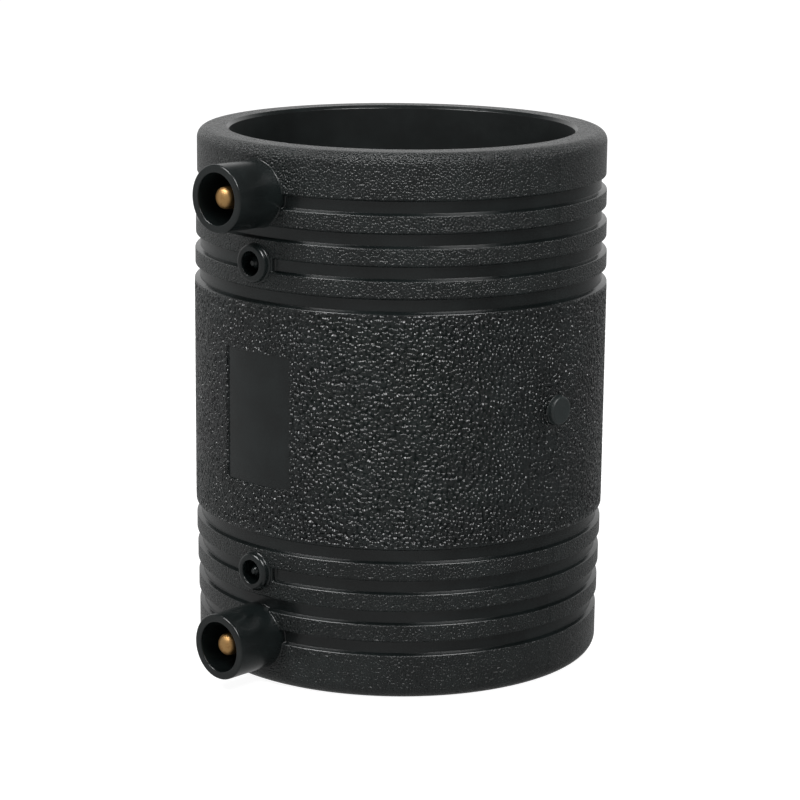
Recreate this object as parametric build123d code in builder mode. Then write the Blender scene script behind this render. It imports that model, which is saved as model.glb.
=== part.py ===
from build123d import *
import os
from math import cos, pi, sin, sqrt

# Electrofusion coupler for two polyethylene pipes, standing on its lower end, in millimetres.
# The origin is on the bore axis, midway between the ends. +Z points to the upper end, the terminals
# and melt indicators face -Y, and the moulding gate faces +X. The two ends mirror each other.

os.makedirs("parts", exist_ok=True)

# ---- Sockets and the stop between them ----
pipe_diameter = 75.0
pipe_play = 0.8  # how much wider the bore is than the pipe
body_length = 116.8
collar_wall = 7.1
mouth_chamfer = 0.65
rim_chamfer = 1.4
stop_width = 3.0
stop_height = 1.6

# ---- Moulded grooves, counted from each end ----
groove_count = 4
collar_length = 9.65
groove_width = 3.2
groove_depth = 1.0
groove_flank = 0.4  # run of each sloping groove wall along the axis
land_width = 3.58
land_rise = 0.17  # each land stands out a little more than the one before it

# ---- Smooth panel let into the middle band ----
panel_width = 18.8
panel_height = 29.0
panel_depth = 0.45

# ---- Terminal shrouds ----
terminal_inset = 10.2
shroud_bore = 10.9
shroud_wall = 1.7
shroud_reach = 11.5
shroud_depth = 12.0
shroud_edge_chamfer = 0.3

# ---- Terminal pins ----
pin_diameter = 4.7
pin_foot_diameter = 6.2
pin_recess = 1.3
pin_tip_chamfer = 0.6
seat_clearance = 0.02

# ---- Melt indicators, each centred on one of the grooves ----
indicator_groove = 3
indicator_boss_diameter = 8.2
indicator_boss_height = 1.5
indicator_pad_margin = 0.6
indicator_bore = 5.2
indicator_floor = 0.5  # plastic left between the indicator bore and the winding
indicator_stem_diameter = 2.6
indicator_tip_diameter = 1.2
indicator_tip_length = 0.9
indicator_recess = 0.7

# ---- Moulding gate ----
gate_diameter = 6.0
gate_height = 1.2
gate_offset = 2.0  # above the middle of the body
gate_chamfer = 0.4

# ---- Heating wire ----
wire_thickness = 0.9
wire_clearance = 0.05
wire_cover = 0.8  # plastic between the bore and the winding
lead_length = 1.0  # from the outside of the winding to the pin
winding_turns = 2
winding_pitch = 11.4
winding_chords = 16  # straight chords that make one turn

# ---- Radii, measured from the bore axis ----
bore_radius = (pipe_diameter + pipe_play) / 2
collar_radius = bore_radius + collar_wall
stop_radius = bore_radius - stop_height
band_radius = collar_radius + groove_count * land_rise
panel_radius = band_radius - panel_depth
gate_face = band_radius + gate_height

# The wire's square section turns a little as it winds, so its corner sets the room it needs.
wire_reach = wire_thickness / sqrt(2)
chord_radius = bore_radius + wire_cover + wire_reach
corner_radius = chord_radius / cos(pi / winding_chords)
winding_outside = corner_radius + wire_reach

shroud_mouth = collar_radius + shroud_reach
shroud_floor = shroud_mouth - shroud_depth
pin_root = winding_outside + lead_length
pin_tip = shroud_mouth - pin_recess
indicator_land = collar_radius + (indicator_groove - 1) * land_rise
indicator_face = indicator_land + indicator_boss_height
indicator_seat = winding_outside + indicator_floor
indicator_tip = indicator_face - indicator_recess

# ---- Heights, measured from the middle of the body ----
half_length = body_length / 2
land_pitch = groove_width + land_width
terminal_level = half_length - terminal_inset
indicator_inset = collar_length + (indicator_groove - 1) * land_pitch + groove_width / 2
indicator_level = half_length - indicator_inset
crossing_level = terminal_level - winding_turns * winding_pitch
ends = (1, -1)


def facing_terminals(level):
    """Plane through the bore axis at a height, with its normal towards the terminals (-Y)."""
    return Plane(origin=(0, 0, level), x_dir=(1, 0, 0), z_dir=(0, -1, 0))


def outside_outline():
    """Points of the upper half of the outer wall, from the axis over the rim down to mid height."""
    points = [
        (0, 0),
        (0, half_length),
        (collar_radius - rim_chamfer, half_length),
        (collar_radius, half_length - rim_chamfer),
    ]
    for index in range(groove_count):
        top = half_length - collar_length - index * land_pitch
        bottom = top - groove_width
        above = collar_radius + index * land_rise
        floor = above - groove_depth
        points.append((above, top))
        points.append((floor, top - groove_flank))
        points.append((floor, bottom + groove_flank))
        points.append((above + land_rise, bottom))
    points.append((band_radius, 0))
    return points


def winding_points(top_level):
    """Corners of one winding, which starts and ends on the terminals' side."""
    points = []
    for index in range(winding_turns * winding_chords + 1):
        angle = -pi / 2 + 2 * pi * index / winding_chords
        level = top_level - winding_pitch * index / winding_chords
        points.append((corner_radius * cos(angle), corner_radius * sin(angle), level))
    return points


def heating_wire_solid(gap):
    """Both windings, the crossing between them and the lead to each pin, in one piece.

    With a gap, every side stands out by it: that is the space left for the wire in the plastic.
    """
    thickness = wire_thickness + 2 * gap
    with BuildPart() as wire:
        for top_level in (terminal_level, -crossing_level):
            with BuildLine() as turns:
                Polyline(*winding_points(top_level))
            with BuildSketch(Plane(origin=turns.line @ 0, x_dir=(0, 0, 1), z_dir=turns.line % 0)):
                Rectangle(thickness, thickness)
            sweep(path=turns.line, transition=Transition.RIGHT)
        with BuildSketch(Plane.XY):
            with Locations((0, -corner_radius)):
                Circle(thickness / 2)
        extrude(amount=crossing_level + gap, both=True)
        for end in ends:
            with BuildSketch(facing_terminals(end * terminal_level).offset(corner_radius - gap)):
                Circle(thickness / 2)
            extrude(amount=pin_root - corner_radius + gap)
    return wire.part


# ---- Heating wire ----
with BuildPart() as heating_wire:
    add(heating_wire_solid(0))

heating_wire.part.label = "heating_wire"
export_step(heating_wire.part, "parts/heating_wire.step")

# ---- Land-level pad that closes a groove beside each indicator ----
with BuildPart() as indicator_pads:
    for end in ends:
        with BuildSketch(facing_terminals(end * indicator_level)):
            Rectangle(indicator_boss_diameter + 2 * indicator_pad_margin, groove_width)
        extrude(amount=indicator_face)
    Cylinder(indicator_land, body_length, mode=Mode.INTERSECT)

# ---- Tool for the panel recess, with a floor that follows the wall ----
with BuildPart() as panel_tool:
    with BuildSketch(facing_terminals(0)):
        Rectangle(panel_width, panel_height)
    extrude(amount=indicator_face)
    Cylinder(panel_radius, body_length, mode=Mode.SUBTRACT)

# ---- Coupler body, one moulding ----
with BuildPart() as coupler_body:
    with BuildSketch(Plane.XZ):
        with BuildLine():
            Polyline(*outside_outline(), close=True)
        make_face()
        mirror(about=Plane.XZ)
    revolve(axis=Axis.Z)

    # Shrouds, indicator bosses and gate stand on the wall.
    for end in ends:
        with BuildSketch(facing_terminals(end * terminal_level)):
            Circle(shroud_bore / 2 + shroud_wall)
        extrude(amount=shroud_mouth)
    shroud_rims = faces().filter_by(Axis.Y).group_by(Axis.Y)[0].edges()
    chamfer(shroud_rims, length=shroud_edge_chamfer)
    for end in ends:
        with BuildSketch(facing_terminals(end * indicator_level)):
            Circle(indicator_boss_diameter / 2)
        extrude(amount=indicator_face)
    add(indicator_pads.part)
    with BuildSketch(Plane.YZ):
        with Locations((0, gate_offset)):
            Circle(gate_diameter / 2)
    extrude(amount=gate_face)
    chamfer(faces().sort_by(Axis.X)[-1].edges(), length=gate_chamfer)
    add(panel_tool.part, mode=Mode.SUBTRACT)

    # A socket at each end with a chamfered mouth, and the stop ring left between them.
    with BuildSketch(Plane.XZ):
        with BuildLine():
            Polyline(
                (0, 0),
                (stop_radius, 0),
                (stop_radius, stop_width / 2),
                (bore_radius, stop_width / 2),
                (bore_radius, half_length - mouth_chamfer),
                (bore_radius + mouth_chamfer, half_length),
                (0, half_length),
                close=True,
            )
        make_face()
        mirror(about=Plane.XZ)
    revolve(axis=Axis.Z, mode=Mode.SUBTRACT)

    # Cup and pin seat of each terminal, and the blind bore of each indicator.
    for end in ends:
        terminal_plane = facing_terminals(end * terminal_level)
        with BuildSketch(terminal_plane.offset(shroud_floor)):
            Circle(shroud_bore / 2)
        extrude(amount=shroud_depth, mode=Mode.SUBTRACT)
        with BuildSketch(terminal_plane.offset(pin_root - seat_clearance)):
            Circle(pin_foot_diameter / 2 + seat_clearance)
        extrude(amount=shroud_depth, mode=Mode.SUBTRACT)
        with BuildSketch(facing_terminals(end * indicator_level).offset(indicator_seat)):
            Circle(indicator_bore / 2)
        extrude(amount=indicator_face - indicator_seat, mode=Mode.SUBTRACT)

    # Space in which the wire lies.
    add(heating_wire_solid(wire_clearance), mode=Mode.SUBTRACT)

coupler_body.part.label = "coupler_body"
export_step(coupler_body.part, "parts/coupler_body.step")


def terminal_pin(level):
    """Turned contact pin along -Y at a height, on a wider foot that ends at the cup's floor."""
    terminal_plane = facing_terminals(level)
    with BuildPart() as pin:
        with BuildSketch(terminal_plane.offset(pin_root)):
            Circle(pin_foot_diameter / 2)
        extrude(amount=shroud_floor - pin_root)
        with BuildSketch(terminal_plane.offset(shroud_floor)):
            Circle(pin_diameter / 2)
        extrude(amount=pin_tip - shroud_floor)
        chamfer(faces().sort_by(Axis.Y)[0].edges(), length=pin_tip_chamfer)
    return pin.part


def indicator_pin(level):
    """Melt indicator: a stem on the bore's floor with a small tapered tip, along -Y at a height."""
    stem_radius = indicator_stem_diameter / 2
    taper_start = indicator_tip - indicator_tip_length
    with BuildPart() as pin:
        with BuildSketch(Plane.XY.offset(level)):
            with BuildLine():
                Polyline(
                    (0, -indicator_seat),
                    (stem_radius, -indicator_seat),
                    (stem_radius, -taper_start),
                    (indicator_tip_diameter / 2, -indicator_tip),
                    (0, -indicator_tip),
                    close=True,
                )
            make_face()
        revolve(axis=Axis((0, 0, level), (0, 1, 0)))
    return pin.part


for name, end in (("upper", 1), ("lower", -1)):
    contact = terminal_pin(end * terminal_level)
    contact.label = name + "_terminal_pin"
    export_step(contact, "parts/" + contact.label + ".step")
    indicator = indicator_pin(end * indicator_level)
    indicator.label = name + "_indicator_pin"
    export_step(indicator, "parts/" + indicator.label + ".step")
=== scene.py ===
import logging
import math
from dataclasses import dataclass, field, replace
from enum import Enum
from typing import Optional, Sequence, Union

import bmesh
import bpy
import numpy as np
from mathutils import Matrix, Vector


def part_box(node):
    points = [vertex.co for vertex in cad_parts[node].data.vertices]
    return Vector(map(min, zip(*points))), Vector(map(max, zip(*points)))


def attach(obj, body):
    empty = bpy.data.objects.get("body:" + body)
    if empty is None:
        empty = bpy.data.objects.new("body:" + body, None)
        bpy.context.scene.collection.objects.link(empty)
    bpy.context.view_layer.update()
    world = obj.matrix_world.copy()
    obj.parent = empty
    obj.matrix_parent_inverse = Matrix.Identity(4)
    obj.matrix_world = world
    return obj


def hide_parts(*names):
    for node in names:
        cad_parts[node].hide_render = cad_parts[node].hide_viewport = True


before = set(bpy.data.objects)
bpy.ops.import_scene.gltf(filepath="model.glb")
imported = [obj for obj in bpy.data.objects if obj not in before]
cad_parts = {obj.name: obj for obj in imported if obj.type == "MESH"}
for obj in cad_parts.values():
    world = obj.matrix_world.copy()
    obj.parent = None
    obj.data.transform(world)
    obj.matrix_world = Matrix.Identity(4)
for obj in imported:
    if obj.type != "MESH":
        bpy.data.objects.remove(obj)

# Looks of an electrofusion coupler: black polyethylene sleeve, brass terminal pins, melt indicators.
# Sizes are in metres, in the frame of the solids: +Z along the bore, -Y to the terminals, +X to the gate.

MM = 0.001
LOG = logging.getLogger("coupler")
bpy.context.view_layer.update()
ENDS = {"upper": 1, "lower": -1}

Number = Union[int, float]
Array = np.ndarray
Pair = tuple[float, float]
Triple = tuple[float, float, float]
Ring = tuple[float, Union[float, Array]]
Node = bpy.types.Node
Socket = bpy.types.NodeSocket
Material = bpy.types.Material
Piece = bpy.types.Object


# ---------------- shader maths


class Signal:
    """A shader value that can be used in ordinary arithmetic; each operation adds a Math node."""

    def __init__(self, graph: "Graph", socket: Socket) -> None:
        """Wraps an output socket of the graph."""
        self.graph = graph
        self.socket = socket

    def math(self, operation: str, *others: "Operand") -> "Signal":
        """Adds a Math node on this value and the others."""
        return self.graph.math(operation, self, *others)

    def __add__(self, other: "Operand") -> "Signal":
        """Sum."""
        return self.math("ADD", other)

    def __radd__(self, other: "Operand") -> "Signal":
        """Sum, with the signal on the right."""
        return self.graph.math("ADD", other, self)

    def __sub__(self, other: "Operand") -> "Signal":
        """Difference."""
        return self.math("SUBTRACT", other)

    def __rsub__(self, other: "Operand") -> "Signal":
        """Difference, with the signal on the right."""
        return self.graph.math("SUBTRACT", other, self)

    def __mul__(self, other: "Operand") -> "Signal":
        """Product."""
        return self.math("MULTIPLY", other)

    def __rmul__(self, other: "Operand") -> "Signal":
        """Product, with the signal on the right."""
        return self.graph.math("MULTIPLY", other, self)

    def ramp(self, start: Number, end: Number, low: Number = 0.0, high: Number = 1.0) -> "Signal":
        """Moves smoothly from low to high as the value goes from start to end."""
        inputs = {"Value": self, "From Min": start, "From Max": end, "To Min": low, "To Max": high}
        return self.graph.signal("ShaderNodeMapRange", {"interpolation_type": "SMOOTHSTEP"}, inputs)


Operand = Union[Signal, Number]


class Graph:
    """The node tree of one material or of the world."""

    def __init__(self, tree: bpy.types.NodeTree) -> None:
        """Empties the node tree, to fill it anew."""
        self.tree = tree
        tree.nodes.clear()

    def node(self, kind: str, settings: Optional[dict] = None, inputs: Optional[dict] = None) -> Node:
        """Adds any node.

        Args:
            kind: The node's type.
            settings: Properties, set before the sockets are filled.
            inputs: Socket names or positions, with their values, signals or output sockets.

        Returns:
            The new node.
        """
        new = self.tree.nodes.new(kind)
        for name, value in (settings or {}).items():
            setattr(new, name, value)
        for name, value in (inputs or {}).items():
            if isinstance(value, Signal):
                value = value.socket
            if isinstance(value, Socket):
                self.tree.links.new(value, new.inputs[name])
            else:
                new.inputs[name].default_value = value
        return new

    def signal(self, kind: str, settings: dict, inputs: dict, output: Union[int, str] = 0) -> Signal:
        """Adds a node and wraps one of its outputs, the first unless told otherwise."""
        return Signal(self, self.node(kind, settings, inputs).outputs[output])

    def math(self, operation: str, *operands: Operand) -> Signal:
        """Adds a Math node on any mix of signals and numbers."""
        return self.signal("ShaderNodeMath", {"operation": operation}, dict(enumerate(operands)))

    def position(self) -> Socket:
        """Object coordinates, which are metres in the frame of the solids."""
        return self.node("ShaderNodeTexCoord").outputs["Object"]

    def noise(self, size: float, detail: float = 2.0, roughness: float = 0.55) -> Signal:
        """Soft random value around 0.5, in patches about as wide as the size in metres."""
        inputs = {"Vector": self.position(), "Scale": 1 / size, "Detail": detail, "Roughness": roughness}
        return self.signal("ShaderNodeTexNoise", {}, inputs)

    def beads(self, size: float, randomness: float = 0.85) -> Signal:
        """Adds a pattern of evenly spread beads.

        Args:
            size: Spacing of the beads, in metres.
            randomness: How far the beads stray from an even grid, up to 1.

        Returns:
            The pattern, 0 in the middle of a bead and rising outward.
        """
        settings = {"voronoi_dimensions": "3D", "feature": "F1"}
        inputs = {"Vector": self.position(), "Scale": 1 / size, "Randomness": randomness}
        distance = self.signal("ShaderNodeTexVoronoi", settings, inputs, "Distance")
        return distance * distance

    def colour_between(self, first: Sequence[float], second: Sequence[float], share: Signal) -> Socket:
        """Mixes two colours by the share of the second."""
        inputs = {0: share, 6: (*first, 1.0), 7: (*second, 1.0)}
        return self.node("ShaderNodeMix", {"data_type": "RGBA"}, inputs).outputs[2]

    def bump(self, height: Signal, depth: float, under: Optional[Socket] = None) -> Socket:
        """Adds relief that is only shaded.

        Args:
            height: Value from 0 to 1.
            depth: The relief's height in metres at 1.
            under: Normal of a coarser relief below it.

        Returns:
            The normal's socket.
        """
        inputs = {"Height": height, "Distance": depth, "Strength": 1.0}
        if under is not None:
            inputs["Normal"] = under
        return self.node("ShaderNodeBump", {}, inputs).outputs["Normal"]

    def surface(self, inputs: dict) -> None:
        """Adds the material's shader with these socket values or links, and its output."""
        shader = self.node("ShaderNodeBsdfPrincipled", {}, inputs)
        self.node("ShaderNodeOutputMaterial", {}, {"Surface": shader.outputs["BSDF"]})


def new_material(name: str) -> tuple[Material, Graph]:
    """Makes a material.

    Args:
        name: The material's name.

    Returns:
        The material and its empty graph.
    """
    material = bpy.data.materials.new(name)
    material.use_nodes = True
    return material, Graph(material.node_tree)


# ---------------- finishes


@dataclass(frozen=True)
class Polyethylene:
    """Black moulded polyethylene, with the beads of its mould, a soft swell and broad flow marks."""

    name: str
    bead_size: float
    bead_depth: float
    roughness: float
    roughness_spread: float = 0.08
    shade: float = 0.0035
    bright_shade: float = 0.006
    coolness: float = 1.4
    flow_size: float = 9 * MM
    swell_size: float = 1.6 * MM
    swell_depth: float = 0.008 * MM
    relief: Optional[str] = None
    relief_depth: float = 0.04 * MM

    def build(self) -> Material:
        """Makes the material.

        Returns:
            The material.
        """
        material, graph = new_material(self.name)
        flow = graph.noise(self.flow_size, 3.0)
        grain = graph.noise(self.bead_size, 1.0)
        marks = flow.ramp(0.35, 0.7)
        colour = graph.colour_between(self._tone(self.shade), self._tone(self.bright_shade), marks)
        rough = self.roughness + (grain + flow - 1.0) * self.roughness_spread
        normal = graph.bump(graph.noise(self.swell_size), self.swell_depth)
        if self.relief:
            edges = graph.signal("ShaderNodeAttribute", {"attribute_name": self.relief}, {}, "Fac")
            normal = graph.bump(edges.ramp(-1.0, 1.0), self.relief_depth, normal)
        normal = graph.bump(1.0 - graph.beads(self.bead_size), self.bead_depth, normal)
        graph.surface({"Base Color": colour, "Roughness": rough, "Normal": normal, "IOR": 1.5})
        return material

    def shared(self) -> Material:
        """The material, built when the first piece asks for it."""
        return bpy.data.materials.get(self.name) or self.build()

    def _tone(self, shade: float) -> Triple:
        """A near-black that leans a little to blue and green."""
        return shade, shade * self.coolness, shade * self.coolness


@dataclass(frozen=True)
class TurnedMetal:
    """Metal turned on a lathe about an axis along Y, with fine rings and a little tarnish."""

    name: str
    colour: Triple
    tarnish: Triple
    axis_height: float
    roughness: float
    ring_width: float = 0.12 * MM
    ring_depth: float = 0.002 * MM
    stain_size: float = 0.9 * MM
    stain_roughness: float = 0.16
    scratch_size: float = 0.25 * MM
    scratch_roughness: float = 0.1

    def build(self) -> Material:
        """Makes the material.

        Returns:
            The material.
        """
        material, graph = new_material(self.name)
        parts = graph.node("ShaderNodeSeparateXYZ", {}, {"Vector": graph.position()}).outputs
        across = Signal(graph, parts["X"])
        along = Signal(graph, parts["Y"])
        height = Signal(graph, parts["Z"]).math("ABSOLUTE") - self.axis_height
        radius = (across * across + height * height).math("SQRT")
        rings = ((radius + along) * (math.tau / self.ring_width)).math("SINE") * 0.5 + 0.5
        stain = graph.noise(self.stain_size, 3.0).ramp(0.45, 0.75)
        scratches = graph.noise(self.scratch_size)
        rough = self.roughness + stain * self.stain_roughness + (scratches - 0.5) * self.scratch_roughness
        normal = graph.bump(rings * 0.6 + scratches * 0.4, self.ring_depth)
        colour = graph.colour_between(self.colour, self.tarnish, stain)
        graph.surface({"Base Color": colour, "Roughness": rough, "Normal": normal, "Metallic": 1.0})
        return material


@dataclass(frozen=True)
class StudioPaper:
    """Plain pale floor of seamless paper."""

    name: str = "studio_paper"
    shade: float = 0.3
    fibre_shade: float = 0.2955
    fibre_size: float = 40 * MM
    roughness: float = 0.9
    glow: float = 0.93

    def build(self) -> Material:
        """Makes the material.

        Returns:
            The material.
        """
        material, graph = new_material(self.name)
        fibre = graph.noise(self.fibre_size)
        colour = graph.colour_between((self.shade,) * 3, (self.fibre_shade,) * 3, fibre)
        glow = {"Emission Color": (1.0, 1.0, 1.0, 1.0), "Emission Strength": self.glow}
        graph.surface({"Base Color": colour, "Roughness": self.roughness, **glow})
        return material


class Finish(Enum):
    """Finishes of the moulding, in the order of a piece's material slots."""

    GRAINED = 0
    SMOOTH = 1
    BORE = 2
    CUT = 3


BODY_FINISHES = {
    Finish.GRAINED: Polyethylene("grained_polyethylene", 0.46 * MM, 0.28 * MM, 0.27),
    Finish.SMOOTH: Polyethylene("smooth_polyethylene", 0.8 * MM, 0.006 * MM, 0.24),
    Finish.BORE: Polyethylene("bore_polyethylene", 1.2 * MM, 0.004 * MM, 0.48),
    Finish.CUT: Polyethylene("cut_polyethylene", 0.9 * MM, 0.01 * MM, 0.45, shade=0.0105, bright_shade=0.014),
}
PEBBLED = Polyethylene("pebbled_polyethylene", 0.86 * MM, 0.76 * MM, 0.215, relief="pebbles")


def body_materials() -> list[Material]:
    """The moulding's materials in slot order."""
    return [BODY_FINISHES[finish].shared() for finish in Finish]


# ---------------- mesh building


def ease(value: Array, start: float, end: float) -> Array:
    """Goes smoothly from 0 at start to 1 at end; start may be the larger."""
    share = np.clip((value - start) / (end - start), 0.0, 1.0)
    return share * share * (3 - 2 * share)


def even_turns(columns: int) -> Array:
    """Angles of evenly spaced points round a circle."""
    return np.linspace(0, math.tau, columns, endpoint=False)


def quarter(start: Pair, end: Pair, count: int, upright: bool = False, first: float = 0.0) -> list[Pair]:
    """Rounds an edge with a quarter of an ellipse.

    Args:
        start: Radius and outward distance where it starts.
        end: Radius and outward distance where it ends.
        count: Number of points.
        upright: Whether it sets off along the axis, and not across it.
        first: Angle of the first point on the quarter.

    Returns:
        Radius and outward distance of each point.
    """
    spots = []
    for turn in np.linspace(first, math.pi / 2, count):
        early, late = math.sin(turn), 1 - math.cos(turn)
        across, along = (late, early) if upright else (early, late)
        spots.append((start[0] + (end[0] - start[0]) * across, start[1] + (end[1] - start[1]) * along))
    return spots


def rings(spots: Sequence[Ring], level: float, turns: Array) -> Array:
    """Turns an outline about an axis along -Y.

    Args:
        spots: Radius of each ring, and its outward distance, which may differ from point to point.
        level: Height of the axis.
        turns: Angles of the points.

    Returns:
        Array of rings by points by 3.
    """
    rows = []
    for radius, outward in spots:
        depth = np.broadcast_to(-outward, turns.shape)
        rows.append(np.stack([radius * np.cos(turns), depth, level + radius * np.sin(turns)], axis=-1))
    return np.array(rows)


def grid_mesh(
    name: str,
    points: Array,
    materials: Sequence[Material],
    slots: Union[int, Array] = 0,
    wrap_rows: bool = False,
    wrap_columns: bool = True,
    caps: bool = False,
) -> Piece:
    """Makes a smooth closed mesh from rows of points.

    Args:
        name: The piece's name.
        points: Array of rows by columns by 3.
        materials: The piece's materials.
        slots: Material slot of the faces, as rows by columns or anything that spreads to that.
        wrap_rows: Whether the last row joins the first.
        wrap_columns: Whether each row closes on itself.
        caps: Whether a flat face closes the first row and another the last.

    Returns:
        The new object, linked to the scene.
    """
    rows, columns = points.shape[:2]
    row = np.arange(rows if wrap_rows else rows - 1)
    column = np.arange(columns if wrap_columns else columns - 1)
    first, second = np.meshgrid(row, column, indexing="ij")
    after_row = (first + 1) % rows
    after_column = (second + 1) % columns
    corners = [
        first * columns + second,
        first * columns + after_column,
        after_row * columns + after_column,
        after_row * columns + second,
    ]
    faces = np.stack(corners, axis=-1).reshape(-1, 4).tolist()
    if caps:
        faces.append(list(range(columns - 1, -1, -1)))
        faces.append(list(range((rows - 1) * columns, rows * columns)))
    mesh = bpy.data.meshes.new(name)
    mesh.from_pydata(points.reshape(-1, 3).tolist(), [], faces)
    for material in materials:
        mesh.materials.append(material)
    indices = np.zeros(len(faces), dtype=np.int32)
    indices[: first.size] = np.broadcast_to(slots, first.shape).reshape(-1)
    mesh.polygons.foreach_set("material_index", indices)
    mesh.polygons.foreach_set("use_smooth", np.arange(len(faces)) < first.size)
    build = bmesh.new()
    build.from_mesh(mesh)
    bmesh.ops.recalc_face_normals(build, faces=build.faces)
    build.to_mesh(mesh)
    build.free()
    piece = bpy.data.objects.new(name, mesh)
    bpy.context.scene.collection.objects.link(piece)
    return piece


def stand_in(piece: Piece, node: str) -> Piece:
    """Lets a piece stand for a solid.

    Args:
        piece: The piece.
        node: Name of the solid that it replaces.

    Returns:
        The piece.
    """
    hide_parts(node)
    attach(piece, "root")
    LOG.info("%s: %d faces, for %s", piece.name, len(piece.data.polygons), node)
    return piece


@dataclass(frozen=True)
class Corner:
    """A corner of an outline, with its rounding, and the finish and spacing of the wall after it."""

    radius: float
    height: float
    rounding: float = 0.0
    finish: Finish = Finish.GRAINED
    step: float = 0.45 * MM
    arc_steps: int = 4


@dataclass
class Section:
    """A closed outline that is turned about an axis, with its corners rounded."""

    corners: list[Corner]
    support: float = 0.12 * MM
    arc_weight: float = 0.75
    points: list[tuple[float, float]] = field(default_factory=list)
    finishes: list[int] = field(default_factory=list)

    def sample(self) -> "Section":
        """Fills in points along the outline, and the finish of the wall that follows each.

        Returns:
            The section itself.
        """
        ends = [self._rounding(index) for index in range(len(self.corners))]
        for index, corner in enumerate(self.corners):
            entry, leave = ends[index]
            middle = np.array([corner.radius, corner.height])
            if corner.rounding > 0:
                for step in range(corner.arc_steps):
                    share = step / corner.arc_steps
                    source = self.corners[index - 1] if share < 0.5 else corner
                    self._add(self._arc(entry, middle, leave, share), source.finish)
            self._add(leave, corner.finish)
            target = ends[(index + 1) % len(ends)][0]
            length = float(np.linalg.norm(target - leave))
            for distance in self._spacing(length, corner.step):
                self._add(leave + (target - leave) * distance / length, corner.finish)
        return self

    def _spacing(self, length: float, step: float) -> list[float]:
        """Spreads points along a straight wall, with one close to each of its ends.

        Args:
            length: The wall's length.
            step: The widest spacing.

        Returns:
            Distances of the points from the wall's start.
        """
        if length < 4 * self.support:
            return []
        inner = length - 2 * self.support
        steps = max(1, math.ceil(inner / step))
        return [self.support + inner * index / steps for index in range(steps + 1)]

    def _rounding(self, index: int) -> tuple[Array, Array]:
        """Works out where the rounding of a corner starts and ends.

        Args:
            index: The corner's place in the list.

        Returns:
            Both points.
        """
        spots = [np.array([c.radius, c.height]) for c in self.corners]
        here = spots[index]
        rounding = self.corners[index].rounding
        if rounding <= 0:
            return here, here
        back = spots[index - 1] - here
        ahead = spots[(index + 1) % len(spots)] - here
        back = back / np.linalg.norm(back)
        ahead = ahead / np.linalg.norm(ahead)
        turn = math.pi - math.acos(float(np.clip(back @ ahead, -1, 1)))
        reach = rounding * math.tan(turn / 2)
        return here + back * reach, here + ahead * reach

    def _arc(self, entry: Array, corner: Array, leave: Array, share: float) -> Array:
        """Follows the curve that is tangent to both walls, close to a circular arc.

        Args:
            entry: Where the curve starts.
            corner: The sharp corner.
            leave: Where the curve ends.
            share: How far along the curve the point lies, from 0 to 1.

        Returns:
            The point.
        """
        first = (1 - share) ** 2
        middle = 2 * share * (1 - share) * self.arc_weight
        last = share**2
        return (entry * first + corner * middle + leave * last) / (first + middle + last)

    def _add(self, spot: Array, finish: Finish) -> None:
        """Adds one sampled point."""
        self.points.append((float(spot[0]), float(spot[1])))
        self.finishes.append(finish.value)


# ---------------- sizes


@dataclass(frozen=True)
class CouplerSizes:
    """Sizes of the moulding. Those that the solids' boxes give are read from them."""

    half_length: float
    band_radius: float
    shroud_mouth: float
    gate_face: float
    terminal_level: float
    indicator_level: float
    pin_root: float
    pin_tip: float
    pin_foot_radius: float
    indicator_seat: float
    indicator_tip: float
    bore_radius: float = 37.9 * MM
    collar_radius: float = 45.0 * MM
    groove_count: int = 4
    collar_length: float = 9.65 * MM
    groove_width: float = 3.2 * MM
    groove_depth: float = 1.0 * MM
    groove_flank: float = 0.4 * MM
    land_width: float = 3.58 * MM
    land_rise: float = 0.17 * MM
    panel_width: float = 18.8 * MM
    panel_height: float = 29.0 * MM
    panel_depth: float = 0.45 * MM
    shroud_bore: float = 10.9 * MM
    shroud_wall: float = 1.7 * MM
    shroud_depth: float = 12.0 * MM
    boss_radius: float = 4.1 * MM
    boss_rise: float = 1.5 * MM
    boss_bore: float = 5.2 * MM
    pad_margin: float = 0.6 * MM
    gate_radius: float = 3.1 * MM
    gate_offset: float = 2.0 * MM
    stop_half_width: float = 1.5 * MM
    stop_height: float = 1.6 * MM
    mouth_chamfer: float = 0.65 * MM
    rim_rounding: float = 2.4 * MM

    @classmethod
    def from_frame(cls) -> "CouplerSizes":
        """Reads the sizes that the solids' boxes give.

        Returns:
            The sizes.
        """
        low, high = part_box("coupler_body")
        pin_low, pin_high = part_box("upper_terminal_pin")
        indicator_low, indicator_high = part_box("upper_indicator_pin")
        return cls(
            half_length=high.z,
            band_radius=-low.x,
            shroud_mouth=-low.y,
            gate_face=high.x,
            terminal_level=(pin_low.z + pin_high.z) / 2,
            indicator_level=(indicator_low.z + indicator_high.z) / 2,
            pin_root=-pin_high.y,
            pin_tip=-pin_low.y,
            pin_foot_radius=(pin_high.x - pin_low.x) / 2,
            indicator_seat=-indicator_high.y,
            indicator_tip=-indicator_low.y,
        )

    @property
    def land_pitch(self) -> float:
        """Distance from one groove to the next."""
        return self.groove_width + self.land_width

    @property
    def band_edge(self) -> float:
        """Height at which the middle band's edge starts to slope into the last groove."""
        groove_top = self.half_length - self.collar_length - (self.groove_count - 1) * self.land_pitch
        return groove_top - self.groove_width

    @property
    def last_floor(self) -> float:
        """Radius of the floor of the groove beside the middle band."""
        return self.collar_radius + (self.groove_count - 1) * self.land_rise - self.groove_depth

    @property
    def indicator_land(self) -> float:
        """Radius of the land that the indicator's pad is level with."""
        return self.collar_radius + 2 * self.land_rise

    @property
    def shroud_radius(self) -> float:
        """Outside radius of a terminal shroud."""
        return self.shroud_bore / 2 + self.shroud_wall


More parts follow.
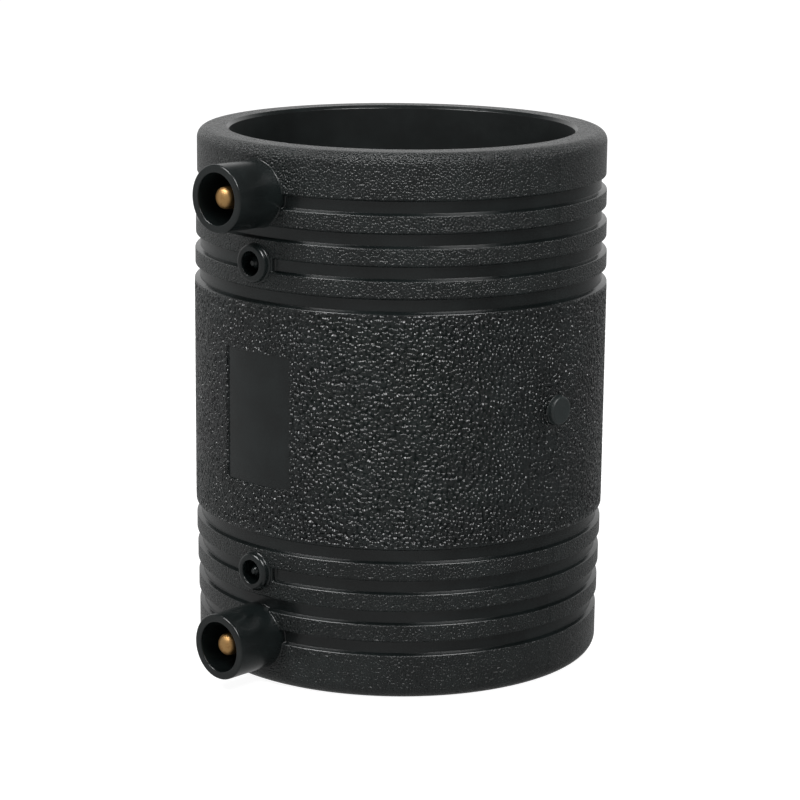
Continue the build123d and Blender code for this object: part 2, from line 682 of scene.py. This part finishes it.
@dataclass
class Wall:
    """The turned wall's outer surface, and the places on the terminals' side where it differs."""

    sizes: CouplerSizes
    lip_rounding: float = 0.32 * MM
    foot_rounding: float = 0.05 * MM
    stop_rounding: float = 0.16 * MM
    mouth_rounding: float = 0.15 * MM
    chamfer_rounding: float = 0.2 * MM
    band_overlap: float = 0.8 * MM
    hidden_step: float = 60 * MM
    outside_margin: float = 2 * MM
    pad_blend: float = 0.2 * MM
    pad_reach: float = 0.3 * MM
    section: Section = field(init=False)
    heights: Array = field(init=False)
    radii: Array = field(init=False)

    def __post_init__(self) -> None:
        """Works out the outline."""
        self.section = Section(self._corners()).sample()
        outer = [(r, z) for r, z in self.section.points if r > self.sizes.bore_radius + self.outside_margin]
        outer = sorted(outer, key=lambda spot: spot[1])
        self.heights = np.array([z for r, z in outer])
        self.radii = np.array([r for r, z in outer])

    def _corners(self) -> list[Corner]:
        """Works out the whole section.

        Returns:
            Corners up the outside, over the rim, down the bore and back over the other rim.
        """
        upper = self._upper_corners()
        lower = []
        for index in range(len(upper) - 1, -1, -1):
            before = upper[index - 1]
            corner = upper[index]
            lower.append(replace(corner, height=-corner.height, finish=before.finish, step=before.step))
        return lower[:-1] + [replace(lower[-1], finish=Finish.SMOOTH, step=self.hidden_step)] + upper

    def _upper_corners(self) -> list[Corner]:
        """Works out the upper half of the section.

        Returns:
            Corners from under the middle band to the stop ring in the bore.
        """
        s = self.sizes
        corners = []
        for index in range(s.groove_count - 1, -1, -1):
            top = s.half_length - s.collar_length - index * s.land_pitch
            bottom = top - s.groove_width
            above = s.collar_radius + index * s.land_rise
            floor = above - s.groove_depth
            if index == s.groove_count - 1:
                corners.append(Corner(floor, s.band_edge - self.band_overlap, 0, Finish.SMOOTH))
            else:
                corners.append(Corner(above + s.land_rise, bottom, self.lip_rounding, Finish.SMOOTH))
                corners.append(Corner(floor, bottom + s.groove_flank, self.foot_rounding, Finish.SMOOTH))
            corners.append(Corner(floor, top - s.groove_flank, self.foot_rounding, Finish.SMOOTH))
            corners.append(Corner(above, top, self.lip_rounding, Finish.GRAINED))
        rim = s.half_length
        bore = s.bore_radius
        stop = s.stop_half_width
        chamfer = s.mouth_chamfer
        return corners + [
            Corner(s.collar_radius, rim, s.rim_rounding, Finish.GRAINED, step=1.2 * MM, arc_steps=9),
            Corner(bore + chamfer, rim, self.mouth_rounding, Finish.SMOOTH, step=0.3 * MM, arc_steps=3),
            Corner(bore, rim - chamfer, self.chamfer_rounding, Finish.BORE, step=4 * MM, arc_steps=3),
            Corner(bore, stop, self.stop_rounding, Finish.BORE, step=0.8 * MM, arc_steps=3),
            Corner(bore - s.stop_height, stop, self.lip_rounding, Finish.BORE, step=1.5 * MM, arc_steps=3),
        ]

    def plain_radius(self, height: Array) -> Array:
        """Radius of the turned wall at a height."""
        return np.interp(height, self.heights, self.radii)

    def pad_fill(self, across: Array, height: Array, radius: Array) -> Array:
        """How far the pads that close a groove beside each indicator raise the wall.

        Args:
            across: Distance from the terminals' plane.
            height: Height from the middle.
            radius: Radius of the plain wall.

        Returns:
            The rise.
        """
        s = self.sizes
        edge = s.boss_radius + s.pad_margin
        near = np.abs(np.abs(height) - s.indicator_level) < s.groove_width / 2 + self.pad_reach
        pad = ease(np.abs(across), edge + self.pad_blend, edge - self.pad_blend) * near
        return np.maximum(s.indicator_land - radius, 0) * pad

    def outward(self, across: Array, height: Array) -> Array:
        """Distance of the wall's surface from the bore axis, measured along -Y.

        Args:
            across: Distance from the terminals' plane.
            height: Height from the middle.

        Returns:
            The outward distance.
        """
        radius = self.plain_radius(height)
        radius = radius + self.pad_fill(across, height, radius)
        return np.sqrt(np.maximum(radius**2 - across**2, 0))


# ---------------- pieces of the moulding


@dataclass
class Sleeve:
    """The pipe socket itself: collars, grooves, lands, rims, bore and stop ring."""

    sizes: CouplerSizes
    wall: Wall
    fine_reach: float = 7.6 * MM
    fine_step: float = 0.33 * MM
    coarse_step: float = 1.7 * MM
    seam_height: float = 0.05 * MM
    seam_width: float = 0.16 * MM
    terminal_pit: float = 43.8 * MM
    terminal_pit_inset: float = 0.25 * MM
    indicator_pit: float = 40.6 * MM
    indicator_pit_inset: float = 0.2 * MM
    pit_clearance: float = 0.15 * MM
    outside_margin: float = 3 * MM
    pad_gap: float = 0.4 * MM
    pad_lines: tuple[float, ...] = (-0.35 * MM, -0.2 * MM, -0.1 * MM, 0.0, 0.1 * MM, 0.2 * MM, 0.35 * MM)
    seam_gap: float = 0.8 * MM
    seam_lines: tuple[float, ...] = (-2.2, -1, -0.5, 0, 0.5, 1, 2.2)

    def build(self) -> Piece:
        """Makes the sleeve.

        Returns:
            The piece.
        """
        s = self.sizes
        section = self.wall.section
        angles = self._angles()
        shape = (len(section.points), angles.size)
        radius = np.broadcast_to(np.array([r for r, z in section.points])[:, None], shape)
        height = np.broadcast_to(np.array([z for r, z in section.points])[:, None], shape)
        across = radius * np.sin(angles)
        below_rim = np.abs(height) < s.half_length - s.rim_rounding
        outside = (radius > s.bore_radius + self.outside_margin) & below_rim
        facing = np.cos(angles)[None, :] > 0
        radius = np.where(outside & facing, self._terminal_side(across, height, radius), radius)
        radius = np.where(outside, radius + self._seam(angles), radius)
        points = np.stack([radius * np.sin(angles), -radius * np.cos(angles), height], axis=-1)
        slots = np.array(section.finishes)[:, None]
        piece = grid_mesh("moulded_sleeve", points, body_materials(), slots, wrap_rows=True)
        return stand_in(piece, "coupler_body")

    def _angles(self) -> Array:
        """Spreads the upright lines, closer where there is detail.

        Returns:
            Angles of the lines from the terminals' side.
        """
        s = self.sizes
        radius = s.collar_radius
        edge = s.boss_radius + s.pad_margin
        fine = np.arange(-self.fine_reach, self.fine_reach + self.fine_step / 2, self.fine_step)
        fine = [x for x in fine if abs(abs(x) - edge) > self.pad_gap]
        for offset in self.pad_lines:
            fine += [edge + offset, -edge - offset]
        angles = [math.asin(x / radius) for x in fine]
        start = max(angles)
        steps = math.ceil((math.tau - 2 * start) * radius / self.coarse_step)
        coarse = [start + (math.tau - 2 * start) * index / steps for index in range(1, steps)]
        seams = (math.pi / 2, 3 * math.pi / 2)
        coarse = [a for a in coarse if all(abs(a - seam) * radius > self.seam_gap for seam in seams)]
        for seam in seams:
            coarse += [seam + share * self.seam_width / radius for share in self.seam_lines]
        return np.array(sorted(angles) + sorted(coarse))

    def _terminal_side(self, across: Array, height: Array, radius: Array) -> Array:
        """Closes the grooves at the pads and opens pits where the towers stand.

        Args:
            across: Distance from the terminals' plane.
            height: Height from the middle.
            radius: Radius of the plain wall.

        Returns:
            The changed radius.
        """
        s = self.sizes
        radius = radius + self.wall.pad_fill(across, height, radius)
        for level, edge, bore, floor in (
            (s.terminal_level, s.shroud_radius - self.terminal_pit_inset, s.shroud_bore, self.terminal_pit),
            (s.indicator_level, s.boss_radius - self.indicator_pit_inset, s.boss_bore, self.indicator_pit),
        ):
            distance = np.hypot(across, np.abs(height) - level)
            share = ease(distance, edge, bore / 2 + self.pit_clearance)
            radius = radius + np.minimum(floor - radius, 0) * share
        return radius

    def _seam(self, angles: Array) -> Array:
        """Height of the fine ridge that the two halves of the mould leave at each side."""
        away = np.minimum(np.abs(angles - math.pi / 2), np.abs(angles - 3 * math.pi / 2))
        return self.seam_height * ease(away * self.sizes.collar_radius, self.seam_width, 0)


@dataclass
class Band:
    """The raised middle band with its pebbled face, in the two halves that the mould gives it."""

    sizes: CouplerSizes
    step: float = 0.3 * MM
    relief_depth: float = 0.13 * MM
    pebble_spacing: float = 1.15 * MM
    pebble_edge: float = 0.3 * MM
    spacing_spread: float = 0.25
    evenness: float = 0.35
    pattern_limit: float = 1.4
    gate_ring: float = 4.6 * MM
    ring_blend: float = 0.4 * MM
    ring_value: float = -1.2
    plain_margin: float = 0.7 * MM
    pebbled_margin: float = 1.3 * MM
    plain_share: float = 0.7
    panel_wall: float = 0.16 * MM
    panel_lines: tuple[float, ...] = (-0.24 * MM, -0.16 * MM, -0.1 * MM, -0.05 * MM, 0.0, 0.08 * MM)
    edge_rounding: float = 0.35 * MM
    edge_turn: float = math.pi / 2 * 0.78
    edge_drop: float = 0.08 * MM
    tuck_depth: float = 0.06 * MM
    tuck_reach: float = 0.02 * MM
    tuck_rise: float = 0.2 * MM
    inner_radius: float = 44.2 * MM
    seed: int = 75

    def build(self) -> None:
        """Makes both halves, the front one with the marking panel."""
        self._half("band_front", 0.0, True)
        self._half("band_back", math.pi, False)

    def _half(self, name: str, turn: float, with_panel: bool) -> Piece:
        """Makes one half.

        Args:
            name: The piece's name.
            turn: Angle of the half's middle from the terminals' side.
            with_panel: Whether it has the recessed panel.

        Returns:
            The piece.
        """
        s = self.sizes
        wide, high = (s.panel_width / 2, s.panel_height / 2) if with_panel else (0.0, 0.0)
        angles = self._lines(math.pi / 2 * s.band_radius, wide) / s.band_radius
        face = self._lines(s.band_edge - self.edge_rounding, high)
        turned = angles + turn
        pattern = self._clear_gate(self._pattern(turned, face), turned, face)
        lowered = self._inside(s.band_radius * np.sin(angles), wide)[:, None] * self._inside(face, high)
        face_radius = s.band_radius - self._relief(pattern, face) * (1 - lowered) - s.panel_depth * lowered
        edge_radius, edge_height = self._edge()
        top = np.broadcast_to(edge_radius, (angles.size, edge_radius.size))
        radius = np.concatenate([face_radius, top, top[:, ::-1]], axis=1)
        height = np.concatenate([face, edge_height, -edge_height[::-1]])
        across = radius * np.sin(turned)[:, None]
        outward = radius * np.cos(turned)[:, None]
        points = np.stack([across, -outward, np.broadcast_to(height, radius.shape)], axis=-1)
        slots = np.ones((angles.size - 1, height.size), dtype=int)
        slots[:, : face.size] = lowered[:-1] > 0.5
        materials = [PEBBLED.shared(), BODY_FINISHES[Finish.SMOOTH].shared()]
        piece = grid_mesh(name, points, materials, slots, caps=True)
        stored = np.full(radius.shape, -1.0)
        stored[:, : face.size] = pattern
        pebbles = piece.data.attributes.new("pebbles", "FLOAT", "POINT")
        pebbles.data.foreach_set("value", stored.reshape(-1))
        return stand_in(piece, "coupler_body")

    def _lines(self, reach: float, wall: float) -> Array:
        """Even spacing from -reach to reach, with closer lines at the panel's wall.

        Args:
            reach: Half the span.
            wall: Distance of the wall from the middle, or 0 where there is none.

        Returns:
            The positions.
        """
        lines = np.linspace(-reach, reach, math.ceil(2 * reach / self.step) + 1)
        if not wall:
            return lines
        lines = lines[np.abs(np.abs(lines) - wall) > self.step]
        near = wall + np.array(self.panel_lines)
        return np.sort(np.concatenate([lines, near, -near]))

    def _inside(self, place: Array, wall: float) -> Array:
        """Goes from 0 outside the panel's wall to 1 inside it."""
        return ease(np.abs(place), wall, wall - self.panel_wall)

    def _clear_gate(self, pattern: Array, angles: Array, heights: Array) -> Array:
        """Flattens the pattern in a ring about the gate's stub.

        Args:
            pattern: The pattern at each point.
            angles: Angles of the upright lines.
            heights: Heights of the level lines.

        Returns:
            The flattened pattern.
        """
        away = ((angles + math.pi / 2) % math.tau - math.pi) * self.sizes.band_radius
        distance = np.hypot(away[:, None], heights - self.sizes.gate_offset)
        ring = ease(distance, self.gate_ring + self.ring_blend, self.gate_ring - self.ring_blend)
        return pattern * (1 - ring) + self.ring_value * ring

    def _edge(self) -> tuple[Array, Array]:
        """Works out the rounded edge, the flank and the underside.

        Returns:
            Radii and heights, from the face down.
        """
        s = self.sizes
        turns = np.linspace(0, self.edge_turn, 5)[1:]
        radii = s.band_radius - self.edge_drop * np.sin(turns) - self.edge_rounding * (1 - np.cos(turns))
        heights = s.band_edge - self.edge_rounding * (1 - np.sin(turns))
        foot = s.band_edge + s.groove_flank
        flank = np.array([0.15, 0.5, 0.85])
        down = radii[-1] + (s.last_floor - radii[-1]) * flank
        along = heights[-1] + (foot - heights[-1]) * flank
        under = [s.last_floor - self.tuck_depth, self.inner_radius]
        back = [foot + self.tuck_reach, foot - self.tuck_rise]
        return np.concatenate([radii, down, under]), np.concatenate([heights, along, back])

    def _relief(self, pattern: Array, heights: Array) -> Array:
        """Depth of the pebbled face below the band's full radius.

        Args:
            pattern: The pattern at each point.
            heights: Heights of the level lines.

        Returns:
            The depth at each point.
        """
        edge = self.sizes.band_edge
        fade = ease(np.abs(heights), edge - self.plain_margin, edge - self.pebbled_margin)
        raised = ease(pattern, -1.0, 1.0) * fade + self.plain_share * (1 - fade)
        return self.relief_depth * (1 - raised)

    def _pattern(self, angles: Array, heights: Array) -> Array:
        """The seeded pattern of short worms and dots, which closes on itself round the band.

        Args:
            angles: Angles of the upright lines.
            heights: Heights of the level lines.

        Returns:
            How far each point lies inside a pebble's edge, -1 at the edge's foot and 1 at its top.
        """
        grid = self.step / 2
        columns = math.ceil(math.tau * self.sizes.band_radius / grid)
        rows = 2 * math.ceil(self.sizes.band_edge / grid) + 8
        random = np.random.default_rng(self.seed)
        spectrum = np.fft.fft2(random.standard_normal((columns, rows)))
        waves = np.hypot(np.fft.fftfreq(columns, grid)[:, None], np.fft.fftfreq(rows, grid))
        middle = 1 / self.pebble_spacing
        keep = np.exp(-(((waves - middle) / (middle * self.spacing_spread)) ** 2))
        pattern = np.fft.ifft2(spectrum * keep).real
        slopes = [(np.roll(pattern, -1, axis) - np.roll(pattern, 1, axis)) / (2 * grid) for axis in (0, 1)]
        steepness = np.hypot(*slopes)
        pattern = pattern / np.hypot(steepness, self.evenness * steepness.mean()) / self.pebble_edge
        pattern = np.clip(pattern, -self.pattern_limit, self.pattern_limit)
        u = (angles % math.tau) / math.tau * columns
        v = heights / grid + rows / 2
        low_u = u.astype(int)
        low_v = v.astype(int)
        share_u = (u - low_u)[:, None]
        share_v = v - low_v
        lines = pattern[low_u % columns] * (1 - share_u) + pattern[(low_u + 1) % columns] * share_u
        return lines[:, low_v] * (1 - share_v) + lines[:, low_v + 1] * share_v


@dataclass
class Tower:
    """A shroud or a small boss: a round tower on the wall with a blind hole, about an axis along -Y."""

    name: str
    wall: Wall
    level: float
    outer_radius: float
    hole_radius: float
    mouth: float
    floor: float
    root: float
    bottom: float
    outer_edge: float = 0.35 * MM
    inner_edge: float = 0.25 * MM
    floor_rounding: float = 0.5 * MM
    side_support: float = 0.15 * MM
    face_support: float = 0.1 * MM
    root_sink: float = 0.03 * MM
    skirt_depth: float = 0.25 * MM
    columns: int = 144

    def build(self) -> Piece:
        """Makes the tower.

        Returns:
            The piece.
        """
        turns = even_turns(self.columns)
        points = rings(self._inside() + self._outside(turns), self.level, turns)
        piece = grid_mesh(self.name, points, body_materials(), Finish.SMOOTH.value, caps=True)
        return stand_in(piece, "coupler_body")

    def _inside(self) -> list[Ring]:
        """Works out the hole and the face of the mouth.

        Returns:
            Rings from the hole's floor up to the outer edge of the mouth.
        """
        hole = self.hole_radius
        outer = self.outer_radius
        wall_start = self.floor + self.floor_rounding
        wall_end = self.mouth - self.inner_edge
        face_start = hole + self.inner_edge
        face_end = outer - self.outer_edge
        return [
            (hole * 0.3, self.floor),
            (hole * 0.75, self.floor),
            *quarter((hole - self.floor_rounding, self.floor), (hole, wall_start), 6),
            (hole, wall_start + self.side_support),
            (hole, wall_end - self.side_support),
            *quarter((hole, wall_end), (face_start, self.mouth), 5, upright=True),
            (face_start + self.face_support, self.mouth),
            (face_end - self.face_support, self.mouth),
            *quarter((face_end, self.mouth), (outer, self.mouth - self.outer_edge), 6),
        ]

    def _outside(self, turns: Array) -> list[Ring]:
        """Works out the outside.

        Args:
            turns: Angles of the points on a ring.

        Returns:
            Rings down the outside, over the root's fillet, which follows the wall, and under the surface.
        """
        outer = self.outer_radius
        top = self.mouth - self.outer_edge - self.side_support
        drop = self._wall_at(outer, turns) + self.root - top
        spots = [(outer, top + drop * share) for share in (0, 0.35, 0.7, 0.97)]
        foot = outer + self.root
        for radius, rise in quarter((outer, self.root), (foot, -self.root_sink), 8, upright=True):
            spots.append((radius, self._wall_at(radius, turns) + rise))
        last = foot + self.face_support
        spots.append((last, self._wall_at(last, turns) - self.skirt_depth))
        return spots + [(outer, self.bottom), (outer * 0.4, self.bottom)]

    def _wall_at(self, radius: float, turns: Array) -> Array:
        """Outward distance of the wall's surface on a ring about the tower's axis."""
        return self.wall.outward(radius * np.cos(turns), self.level + radius * np.sin(turns))


@dataclass
class GateStub:
    """The round stub left on the band where the plastic was fed in, with a cut and slightly uneven face."""

    sizes: CouplerSizes
    edge: float = 0.55 * MM
    root: float = 0.35 * MM
    unevenness: float = 0.12 * MM
    band_sink: float = 0.22 * MM
    skirt_reach: float = 0.1 * MM
    skirt_depth: float = 0.5 * MM
    bottom_depth: float = 1.1 * MM
    columns: int = 96

    def build(self) -> Piece:
        """Makes the stub.

        Returns:
            The piece.
        """
        s = self.sizes
        turns = even_turns(self.columns)
        face = s.gate_radius - self.edge
        spots = []
        for share in (0.03, 0.3, 0.6, 0.85, 1.0):
            sag = self.unevenness * (1 - share**2) * (1 + 0.5 * np.sin(2 * turns + 0.6) * share)
            spots.append((face * share, s.gate_face - sag))
        spots += quarter((face, s.gate_face), (s.gate_radius, s.gate_face - self.edge), 5)[1:]
        foot = s.gate_radius + self.root
        for radius, rise in quarter((s.gate_radius, self.root), (foot, 0), 6, upright=True):
            spots.append((radius, self._band_at(radius, turns) + rise))
        skirt = foot + self.skirt_reach
        spots.append((skirt, self._band_at(s.gate_radius, turns) - self.skirt_depth))
        spots.append((s.gate_radius * 0.5, s.band_radius - self.bottom_depth))
        # A quarter turn about Z takes the rings from an axis along -Y to one along +X.
        points = rings(spots, s.gate_offset, turns)[..., [1, 0, 2]] * (-1, 1, 1)
        piece = grid_mesh("gate_stub", points, body_materials(), Finish.CUT.value, caps=True)
        return stand_in(piece, "coupler_body")

    def _band_at(self, radius: float, turns: Array) -> Array:
        """Outward distance of the band's face, a little below its tops, on a ring about the stub's axis."""
        return np.sqrt((self.sizes.band_radius - self.band_sink) ** 2 - (radius * np.cos(turns)) ** 2)


# ---------------- pins and wire


@dataclass
class Pin:
    """A small part that stands in a tower's hole, turned about the tower's axis."""

    name: str
    node: str
    sizes: CouplerSizes
    level: float
    material: Material
    slot: str = "pin_brass"
    columns: int = 72

    def outline(self) -> list[Ring]:
        """Rings from the root to the tip, which each kind of pin gives."""
        raise NotImplementedError

    def build(self) -> Piece:
        """Makes the pin.

        Returns:
            The piece.
        """
        points = rings(self.outline(), self.level, even_turns(self.columns))
        piece = grid_mesh(self.name, points, [self.material], caps=True)
        return stand_in(piece, self.node)


@dataclass
class TerminalPin(Pin):
    """Turned brass contact pin with a domed end, on a wider foot that is moulded in."""

    radius: float = 2.35 * MM
    shoulder: float = 44.52 * MM
    dome: float = 1.5 * MM
    dome_flat: float = 0.4 * MM
    edge: float = 0.1 * MM
    foot_edge: float = 0.02 * MM

    def outline(self) -> list[Ring]:
        """Works out the pin.

        Returns:
            Rings from the foot to the top of the dome.
        """
        s = self.sizes
        foot = s.pin_foot_radius
        start = s.pin_tip - self.dome
        return [
            (foot * 0.5, s.pin_root),
            (foot - self.edge, s.pin_root),
            (foot, s.pin_root + self.edge),
            (foot, self.shoulder - self.foot_edge),
            (foot - self.foot_edge, self.shoulder),
            (self.radius + self.edge, self.shoulder),
            (self.radius, self.shoulder + self.edge),
            (self.radius, self.shoulder + 4 * self.edge),
            (self.radius, start - 2 * self.edge),
            *quarter((self.radius, start), (self.dome_flat, s.pin_tip), 12, upright=True),
        ]


@dataclass
class IndicatorPin(Pin):
    """Melt indicator: a stem at the bottom of its hole that narrows to a small rounded tip."""

    slot: str = "indicator_plastic"
    columns: int = 48
    stem_radius: float = 1.3 * MM
    tip_radius: float = 0.6 * MM
    taper: float = 0.9 * MM
    seat_edge: float = 0.05 * MM
    shoulder: float = 0.1 * MM
    rounding: float = 0.2 * MM
    dimple: float = 0.08 * MM

    def outline(self) -> list[Ring]:
        """Works out the indicator.

        Returns:
            Rings from the seat to the dimple in the tip.
        """
        seat = self.sizes.indicator_seat
        top = self.sizes.indicator_tip
        start = top - self.taper
        stem = self.stem_radius
        tip = self.tip_radius
        bend = self.shoulder
        return [
            (stem * 0.5, seat),
            (stem - self.seat_edge, seat),
            (stem, seat + self.seat_edge),
            (stem, start - 2.5 * bend),
            (stem - 0.2 * bend, start - bend),
            (stem - bend, start + 0.2 * bend),
            (tip + 0.8 * self.rounding, top - 1.5 * self.rounding),
            *quarter((tip, top - self.rounding), (tip - self.rounding, top), 6, upright=True, first=0.2),
            (tip * 0.5, top - self.dimple / 8),
            (tip * 0.25, top - self.dimple),
        ]


@dataclass
class HeatingWire:
    """The winding inside the wall, which keeps its own solid and gets the finish of bare alloy wire."""

    node: str = "heating_wire"
    colour: Triple = (0.42, 0.4, 0.37)
    tarnish: Triple = (0.3, 0.27, 0.23)
    roughness: float = 0.32

    def dress(self) -> None:
        """Gives the wire its material."""
        alloy = TurnedMetal("wire_alloy", self.colour, self.tarnish, 25 * MM, self.roughness, 0.2 * MM)
        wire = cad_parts[self.node]
        wire.data.materials.clear()
        wire.data.materials.append(alloy.build())
        LOG.info("%s: keeps its own solid", self.node)


# ---------------- studio


@dataclass
class Camera:
    """The camera, which looks at the coupler from above the terminals' right."""

    distance: float = 596.945 * MM
    turn: float = 0.74097
    elevation: float = 0.22285
    roll: float = 0.00985
    aim_right: float = 0.00016
    aim_up: float = -0.0055
    lens: float = 119.69
    sensor: float = 36.0
    nearest: float = 0.01
    farthest: float = 20.0

    def build(self) -> bpy.types.Object:
        """Places the camera.

        Returns:
            The camera.
        """
        level = math.cos(self.elevation)
        side = Vector((math.sin(self.turn) * level, -math.cos(self.turn) * level, math.sin(self.elevation)))
        spot = side * self.distance
        ahead = -spot.normalized()
        right = Vector((math.cos(self.turn), math.sin(self.turn), 0))
        up = right.cross(ahead)
        ahead = (ahead + right * self.aim_right + up * self.aim_up).normalized()
        right = ahead.cross(up).normalized()
        up = right.cross(ahead)
        rolled_right = right * math.cos(self.roll) + up * math.sin(self.roll)
        rolled_up = up * math.cos(self.roll) - right * math.sin(self.roll)
        data = bpy.data.cameras.new("camera")
        data.lens = self.lens
        data.sensor_width = self.sensor
        data.clip_start = self.nearest
        data.clip_end = self.farthest
        camera = bpy.data.objects.new("camera", data)
        turned = Matrix((rolled_right, rolled_up, -ahead)).transposed().to_4x4()
        camera.matrix_world = Matrix.Translation(spot) @ turned
        bpy.context.scene.collection.objects.link(camera)
        bpy.context.scene.camera = camera
        return camera


@dataclass(frozen=True)
class Softbox:
    """A soft square light that points at the middle of the coupler."""

    name: str
    spot: Triple
    width: float = 0.42
    power: float = 8.6

    def build(self) -> bpy.types.Object:
        """Places the light.

        Returns:
            The light.
        """
        data = bpy.data.lights.new(self.name, "AREA")
        data.shape = "SQUARE"
        data.size = self.width
        data.energy = self.power
        light = bpy.data.objects.new(self.name, data)
        spot = Vector(self.spot)
        light.matrix_world = Matrix.Translation(spot) @ (-spot).to_track_quat("-Z", "Y").to_matrix().to_4x4()
        bpy.context.scene.collection.objects.link(light)
        return light


@dataclass
class Studio:
    """Pale floor, a bright wall behind, a dim room in front and two soft lights."""

    sizes: CouplerSizes
    floor_reach: float = 6.0
    wall_glow: float = 0.8
    left_glow: float = 0.4
    right_glow: float = 0.2
    ceiling_glow: float = 0.1
    wall_side: Triple = (-0.675, 0.738, 0)
    right_side: Triple = (0.738, 0.675, 0)
    room_turn: Pair = (0.1, 0.85)
    room_top: Pair = (0.6, 0.15)
    wall_edge: Pair = (0.25, 0.75)
    wall_top: Pair = (0.62, 0.4)
    wall_foot: Pair = (-0.12, 0.12)
    lights: tuple[Softbox, ...] = (
        Softbox("left_softbox", (-0.2, -0.55, 0.81)),
        Softbox("right_softbox", (0.59, -0.06, 0.81)),
    )

    def build(self) -> None:
        """Makes the floor, the surroundings and the lights."""
        steps = np.linspace(-self.floor_reach, self.floor_reach, 9)
        across, along = np.meshgrid(steps, steps, indexing="ij")
        points = np.stack([across, along, np.full(across.shape, -self.sizes.half_length)], axis=-1)
        floor = grid_mesh("floor", points, [StudioPaper().build()], wrap_columns=False)
        floor.visible_glossy = False
        bpy.context.scene.world = self._room()
        for light in self.lights:
            light.build()
        bpy.context.scene.view_settings.view_transform = "Standard"

    def _room(self) -> bpy.types.World:
        """Makes the surroundings: bright low down on one side, dim elsewhere and overhead.

        Returns:
            The world.
        """
        world = bpy.data.worlds.new("studio")
        world.use_nodes = True
        graph = Graph(world.node_tree)
        ahead = graph.node("ShaderNodeTexCoord").outputs["Generated"]
        leans = []
        for side in ((0, 0, 1), self.wall_side, self.right_side):
            sides = {0: ahead, 1: side}
            leans.append(graph.signal("ShaderNodeVectorMath", {"operation": "DOT_PRODUCT"}, sides, "Value"))
        height, wall, right = leans
        low = right.ramp(*self.room_turn, self.left_glow, self.right_glow)
        room = (low - self.ceiling_glow) * height.ramp(*self.room_top) + self.ceiling_glow
        share = wall.ramp(*self.wall_edge) * height.ramp(*self.wall_top) * height.ramp(*self.wall_foot)
        strength = room + (self.wall_glow - room) * share
        glow = graph.node("ShaderNodeBackground", {}, {"Color": (1.0, 1.0, 1.0, 1.0), "Strength": strength})
        graph.node("ShaderNodeOutputWorld", {}, {"Surface": glow.outputs["Background"]})
        return world


# ---------------- assembly


def build_moulding(sizes: CouplerSizes) -> None:
    """Builds every piece of the black moulding.

    Args:
        sizes: Sizes of the moulding.
    """
    wall = Wall(sizes)
    Sleeve(sizes, wall).build()
    Band(sizes).build()
    for name, end in ENDS.items():
        Tower(
            f"{name}_shroud",
            wall,
            end * sizes.terminal_level,
            sizes.shroud_radius,
            sizes.shroud_bore / 2,
            sizes.shroud_mouth,
            sizes.shroud_mouth - sizes.shroud_depth,
            root=0.25 * MM,
            bottom=42.6 * MM,
        ).build()
        Tower(
            f"{name}_indicator_boss",
            wall,
            end * sizes.indicator_level,
            sizes.boss_radius,
            sizes.boss_bore / 2,
            sizes.indicator_land + sizes.boss_rise,
            sizes.indicator_seat,
            root=0.4 * MM,
            bottom=sizes.indicator_seat - 0.4 * MM,
            outer_edge=0.75 * MM,
            floor_rounding=0.2 * MM,
            columns=96,
        ).build()
    GateStub(sizes).build()


def build_pins(sizes: CouplerSizes) -> None:
    """Builds the contact pins and the melt indicators, and dresses the wire.

    Args:
        sizes: Sizes of the moulding.
    """
    metal = TurnedMetal("turned_brass", (0.64, 0.39, 0.16), (0.5, 0.27, 0.1), sizes.terminal_level, 0.46)
    brass = metal.build()
    plastic = Polyethylene("indicator_polyethylene", 0.4 * MM, 0.004 * MM, 0.2, 0.04).build()
    for name, end in ENDS.items():
        terminal = end * sizes.terminal_level
        indicator = end * sizes.indicator_level
        TerminalPin(f"{name}_contact", f"{name}_terminal_pin", sizes, terminal, brass).build()
        IndicatorPin(f"{name}_melt_indicator", f"{name}_indicator_pin", sizes, indicator, plastic).build()
    HeatingWire().dress()


def main() -> None:
    """Builds the coupler and its studio."""
    logging.basicConfig(level=logging.INFO, format="%(message)s")
    sizes = CouplerSizes.from_frame()
    build_moulding(sizes)
    build_pins(sizes)
    Studio(sizes).build()
    Camera().build()


if __name__ == "__main__":
    main()
